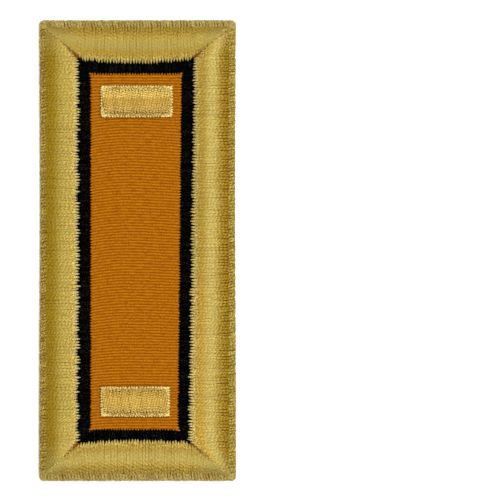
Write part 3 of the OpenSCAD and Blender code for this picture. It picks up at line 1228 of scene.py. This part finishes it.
def make_line(satin, finishes, line, field):
    pads, stitches = [], []
    for number, side in enumerate(SIDES):
        run = Run(side, line, field, outer_bow=ROLL_BOW.get(side, 0.0))
        columns = round(run.length / LINE_PAD_STEP)
        grid = run.grid(line_height, columns, LINE_PAD_ROWS, lower=PAD_DEPTH)
        pads.append(closed_pad(grid, FACE, finishes["black_padding"]))
        grid = run.grid(line_height, columns, LINE_ROWS, overhang=LINE_REACH[side])
        stitches.append(stitched(
            satin, grid, finishes["black"], LINE_SEED + number * SEED_STEP, run.length, LINE_PITCH,
            points=9, thread_radius=0.72 * LINE_PITCH, ragged_end=0.06, dive_end=0.03,
            dive_depth=0.12 * MM))
    finished("inner_line_padding", "inner_line", pads)
    finished("inner_line_stitches", "inner_line", stitches)


# The two bars


def bar_rim_grid(low, high, top, rows, overhang, ragged=0.0):
    """Points over a bar's edge, from its inside to the tips that lie on the ribbon. The tips fall short
    of their overhang by up to the ragged length."""
    chance = random.Random(BAR_RIM_SEED)
    short = [ragged * chance.random() for _ in range(BAR_RIM_COLUMNS // 2)]
    fan = Vector((BAR_FAN, BAR_FAN))
    core_low = low.to_2d() + BAR_RIM_WIDTH + fan
    core_high = high.to_2d() - BAR_RIM_WIDTH - fan
    grid = []
    for number, outer in enumerate(rounded_loop(low, high, BAR_CORNER, BAR_RIM_COLUMNS)):
        core = nearest_inside(outer, core_low, core_high)
        outwards = (outer - core).normalized()
        inner = core + outwards * BAR_FAN
        tip = outer + outwards * (overhang - short[number // 2 % len(short)])
        longer = (tip - inner).length / (outer - inner).length
        column = []
        for j in range(rows + 1):
            dome = math.sin(math.pi * clamp(mix(*BAR_RIM_ARCH, longer * j / rows))) ** 0.5
            height = mix(FIELD_TOP + BAR_RIM_FOOT, top, dome)
            column.append(Vector((*inner.lerp(tip, j / rows), height)))
        grid.append(column)
    return grid


def bar_fill_grid(low, high, edge, crest, lower=0.0):
    """Points over a bar's padded fill, an arch across the bar that rises from the bar's two ends."""
    def point_at(across, down):
        from_end = smooth(min(across, 1 - across) / BAR_FILL_END)
        arch = math.sin(math.pi * down) ** BAR_FILL_ARCH * mix(BAR_FILL_END_RISE, 1.0, from_end)
        x, y = mix(low.x, high.x, across), mix(high.y, low.y, down)
        return Vector((x, y, mix(edge, crest, arch) - lower))

    return grid_of(BAR_FILL_COLUMNS, BAR_FILL_ROWS, point_at)


def make_bar(satin, finishes, name, seed):
    low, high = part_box(name + "_rim")
    padding = finishes["bar_padding"]
    grid = bar_rim_grid(low, high, high.z - BAR_PAD_DEPTH, BAR_PAD_ROWS, BAR_PAD_REACH)
    pad = closed_pad(grid, FIELD_TOP, padding, closed_loop=True)
    grid = bar_rim_grid(low, high, high.z, BAR_RIM_ROWS, BAR_TIP_REACH, BAR_TIP_RAGGED)
    add_shoulder(grid, FIELD_TOP)
    length = 2 * (high.x - low.x + high.y - low.y)
    stitches = stitched(
        satin, grid, finishes["bar_rim"], seed, length, BAR_PITCH,
        points=10, closed_loop=1.0, thread_radius=0.53 * BAR_PITCH, gather_start=0.6,
        gather_end=1.0, end_reach=0.4, ragged_start=0.3, ragged_end=0.1, tip_taper=0.18,
        lift_spread=0.12 * MM, dive_start=0.3)
    finished(name + "_rim_stitches", name + "_rim", [stitches, pad])

    edge = high.z - BAR_FILL_DROP
    low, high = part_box(name + "_fill")
    pad = closed_pad(bar_fill_grid(low, high, edge, high.z, BAR_PAD_DEPTH), FIELD_TOP, padding)
    grid = bar_fill_grid(low - BAR_FILL_TUCK, high + BAR_FILL_TUCK, edge, high.z)
    stitches = stitched(
        satin, grid, finishes[name], seed + BAR_FILL_SEED_STEP, high.x - low.x, BAR_FILL_PITCH,
        points=12, thread_radius=0.66 * BAR_FILL_PITCH, gather_start=0.6, gather_end=0.5,
        tip_taper=0.01, slant=2.2, lift_spread=0.02 * MM, waver=0.4, dive_start=0.08, dive_end=0.04,
        dive_depth=0.04 * MM)
    fill = finished(name + "_fill_stitches", name + "_fill", [stitches, pad])


# The ribbon and the backing


def rib_drop(x, y, low, high):
    """How far a rib has dropped here below its crown."""
    edge, side = (low.x, RIB_SIDES["left"]) if x < RIB_CROWN else (high.x, RIB_SIDES["right"])
    from_crown = (x - RIB_CROWN) / (edge - RIB_CROWN)
    opened = smooth((high.y - y) / RIB_TOP_OPENING)
    opened *= mix(side["least"], 1.0, smooth((y - low.y) / side["opening"]))
    return side["fall"] * from_crown ** side["power"] * opened


def bar_pull(x, y, bars):
    """How strongly the stitches of a bar pull the ribbon down here, from 0 to 1."""
    pull = 0.0
    for low, high in bars:
        gap = math.hypot(max(low.x - x, x - high.x, 0), max(low.y - y, y - high.y, 0))
        pull = max(pull, math.exp(-((gap / BAR_PULL_WIDTH) ** 2)))
    return pull


def make_ribbon(finishes):
    low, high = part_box("field")
    bars = [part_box("bar_top_rim"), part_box("bar_bottom_rim")]

    def point_at(across, down):
        x = mix(low.x - RIBBON_TUCK, high.x + RIBBON_TUCK, across)
        level = mix(high.y + RIBBON_TUCK, low.y - RIBBON_TUCK, down)
        y = level - rib_drop(x, level, low, high)
        return Vector((x, y, FIELD_TOP - BAR_PULL_DEPTH * bar_pull(x, y, bars)))

    flat = (high.x - low.x + 2 * RIBBON_TUCK, high.y - low.y + 2 * RIBBON_TUCK)
    grid = grid_of(RIBBON_GUIDE_COLUMNS, RIBBON_GUIDE_ROWS, point_at)
    sheet = laid_over(ribbed_ribbon_tree(), grid, {
        "Ribs": round(flat[1] / RIB_PITCH),
        "Steps": RIB_STEPS,
        "Columns": RIB_COLUMNS,
        "Rib Height": 0.17 * MM,
        "Wander": 0.3,
        "Unevenness": 0.04 * MM,
        "Seed": 3,
        "Material": finishes["ribbon"],
    })
    close_below(sheet.data, FACE)
    piece = finished("field_ribbon", "field", [sheet])


def make_backing(finishes):
    """Felt that is rounded at its edges and pitted all over its underside."""
    low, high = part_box("backing")

    def point_at(across, down):
        x, y = mix(low.x, high.x, across), mix(low.y, high.y, down)
        edge = min(x - low.x, high.x - x, y - low.y, high.y - y)
        rounding = FELT_EDGE * (1 - math.sqrt(1 - (1 - clamp(edge / FELT_EDGE)) ** 2))
        pitted = 0.5 + 0.5 * noise.noise(Vector((x, y, 0)) / FELT_PIT_SIZE)
        return Vector((x, y, low.z + rounding + FELT_PIT_DEPTH * clamp(pitted)))

    grid = grid_of(FELT_COLUMNS, FELT_ROWS, point_at)
    pad = closed_pad(grid, high.z, finishes["felt"])
    piece = finished("backing_felt", "backing", [pad])


# The board's finishes


def right_tips(nodes, place):
    """The right roll's painted tip colour and painted glints are brighter towards the board's lower end.
    """
    upper = nodes.ramp(place[1], *RIGHT_TIPS_CHANGE)
    return {
        "Tip": nodes.mix_colour(upper, srgb(194, 148, 30), srgb(162, 128, 4)),
        "Glint Share": nodes.mix(upper, 1.0, 0.8),
    }


def rim_light_and_shade(nodes, place):
    """The rim's thread is paler and calmer on the board's two ends, with painted light and less painted
    groove shade there, and has painted shade where it turns down round the edge."""
    at_end = nodes.ramp(abs(place[1]), EDGE_END - EDGE_END_FADE, EDGE_END)
    return {
        "Dark": nodes.mix_colour(at_end, srgb(140, 108, 8), srgb(150, 122, 36)),
        "Light": nodes.mix_colour(at_end, srgb(222, 200, 98), srgb(212, 194, 118)),
        "Twist Depth": nodes.mix(at_end, 0.8, 0.5),
        "Level": nodes.ramp(place[2], *RIM_TURN, -0.1, 0.62),
    }


CHANGES_BY_PLACE = {"gold_right": right_tips, "gold_edge": rim_light_and_shade}

METALLIC = {"Metallic": 0.4, "IOR": 1.7, "Specular Tint": (1.0, 0.92, 0.3, 1.0)}
BRIGHT = {**METALLIC, "Metallic": 0.15}
DULL = {"Specular IOR Level": 0.01}
# The paddings are darker than the threads over them: partly their own colour, and partly painted shade
# in the gaps between stitches
PADDING_COLOURS = {
    "gold_padding": (146, 92, 20),
    "bar_padding": (116, 62, 6),
    "black_padding": (2, 2, 2),
}


def thread_finishes():
    """The values of each spun thread. The first three sets are shared by the rolls or the bars. Root
    shades, tip colours and glints here are painted light and shade.
    """
    side_roll = dict(
        shine=METALLIC, tone_spread=0.12, streak_length=0.3 * MM, twist_length=0.8 * MM)
    end_roll = dict(
        shine=METALLIC, deep=(110, 70, 0), glint=(252, 230, 134), glint_share=0.75, level=0.95,
        full_length=8.5 * MM, root_shade=0.8, root_reach=0.5, tip_share=0.7, tip_reach=0.5,
        middle_calm=0.6, side_shade=0.15, tone_spread=0.12, streak_length=0.4 * MM,
        twist_length=0.8 * MM, twist_depth=0.85)
    # The bars' fill has a pale tip colour, painted light on the lower end of each stitch
    bar = dict(
        shine=METALLIC, tip=(250, 226, 140), tip_reach=0.3, middle_calm=0.3, side_shade=0.15,
        tone_spread=0.2, streak_length=0.3 * MM, twist_length=0.5 * MM, twist_depth=0.95)
    return {
        "gold_left": dict(
            side_roll, deep=(110, 70, 0), dark=(174, 140, 0), light=(184, 166, 86),
            tip=(196, 159, 66), glint=(255, 244, 170), glint_share=0.7, full_length=9.5 * MM,
            root_shade=0.85, root_reach=0.55, tip_share=0.5, tip_reach=0.35, middle_calm=0.2,
            side_shade=0.15),
        "gold_right": dict(
            side_roll, deep=(110, 66, 0), dark=(169, 136, 6), light=(192, 175, 101),
            glint=(255, 238, 156), full_length=9.0 * MM, root_shade=0.82, root_reach=0.31,
            tip_share=0.85, tip_reach=0.55, middle_calm=0.5, side_shade=0.1, twist_depth=0.9),
        # The end rolls' dark colour is lighter than their light one, so their root shade paints light on
        # the outer slope
        "gold_top": dict(end_roll, dark=(190, 160, 62), light=(164, 147, 77), tip=(164, 128, 16)),
        "gold_bottom": dict(end_roll, dark=(198, 167, 66), light=(176, 158, 88), tip=(160, 123, 14)),
        "gold_edge": dict(
            shine=METALLIC, deep=(96, 62, 2), light=(222, 200, 98), tone_spread=0.6,
            twist_length=0.8 * MM, relief=1.2),
        # The top bar's root shade is below 0: painted light along the ridge at the upper side of its
        # fill
        "bar_top": dict(
            bar, deep=(118, 66, 0), dark=(166, 122, 30), light=(242, 213, 116), level=0.4,
            root_shade=-0.9, root_reach=0.4, tip_share=0.35),
        "bar_bottom": dict(
            bar, deep=(120, 68, 0), dark=(168, 124, 30), light=(229, 199, 102), level=0.7,
            tip_share=0.3),
        # The bar rims' pale tip colour and glints paint light on the tips round each bar's edge, and
        # their root shade paints slight shade at the inner ends
        "bar_rim": dict(
            shine=BRIGHT, deep=(120, 70, 4), dark=(168, 124, 30), light=(240, 220, 140),
            tip=(252, 236, 150), glint=(255, 252, 184), glint_share=1.0, level=0.72,
            root_shade=0.15, root_reach=0.4, tip_share=0.9, tip_reach=0.7, tip_clean=0.5,
            side_shade=0.6, tone_spread=0.8, streak_length=0.3 * MM, twist_depth=1.0),
        # The black thread's light colour shows only where its streaks are brightest, as painted flecks
        # of sheen
        "black": dict(
            shine=DULL, deep=(0, 0, 0), dark=(0, 0, 0), light=(104, 104, 112), level=-0.12,
            streak_length=0.22 * MM),
    }


def make_finishes():
    group = spun_thread_group()
    finishes = {"ribbon": ribbon_material(), "felt": felt_material()}
    for name, colour in PADDING_COLOURS.items():
        finishes[name] = padding_material(name, srgb(*colour))
    for name, values in thread_finishes().items():
        finishes[name], nodes, thread = thread_material(name + "_thread", group, **values)
        if name in CHANGES_BY_PLACE:
            place = nodes.parted(nodes.on_object())
            nodes.feed(thread, CHANGES_BY_PLACE[name](nodes, place))
    return finishes


def main():
    place_camera()
    light_studio()
    lay_floor()
    finishes = make_finishes()
    satin = satin_stitch_tree()
    roll, line, field = board_corners()
    make_backing(finishes)
    make_rim(satin, finishes, roll)
    make_rolls(satin, finishes, roll, line)
    make_line(satin, finishes, line, field)
    make_ribbon(finishes)
    make_bar(satin, finishes, "bar_top", BAR_SEED)
    make_bar(satin, finishes, "bar_bottom", BAR_SEED + SEED_STEP)


main()
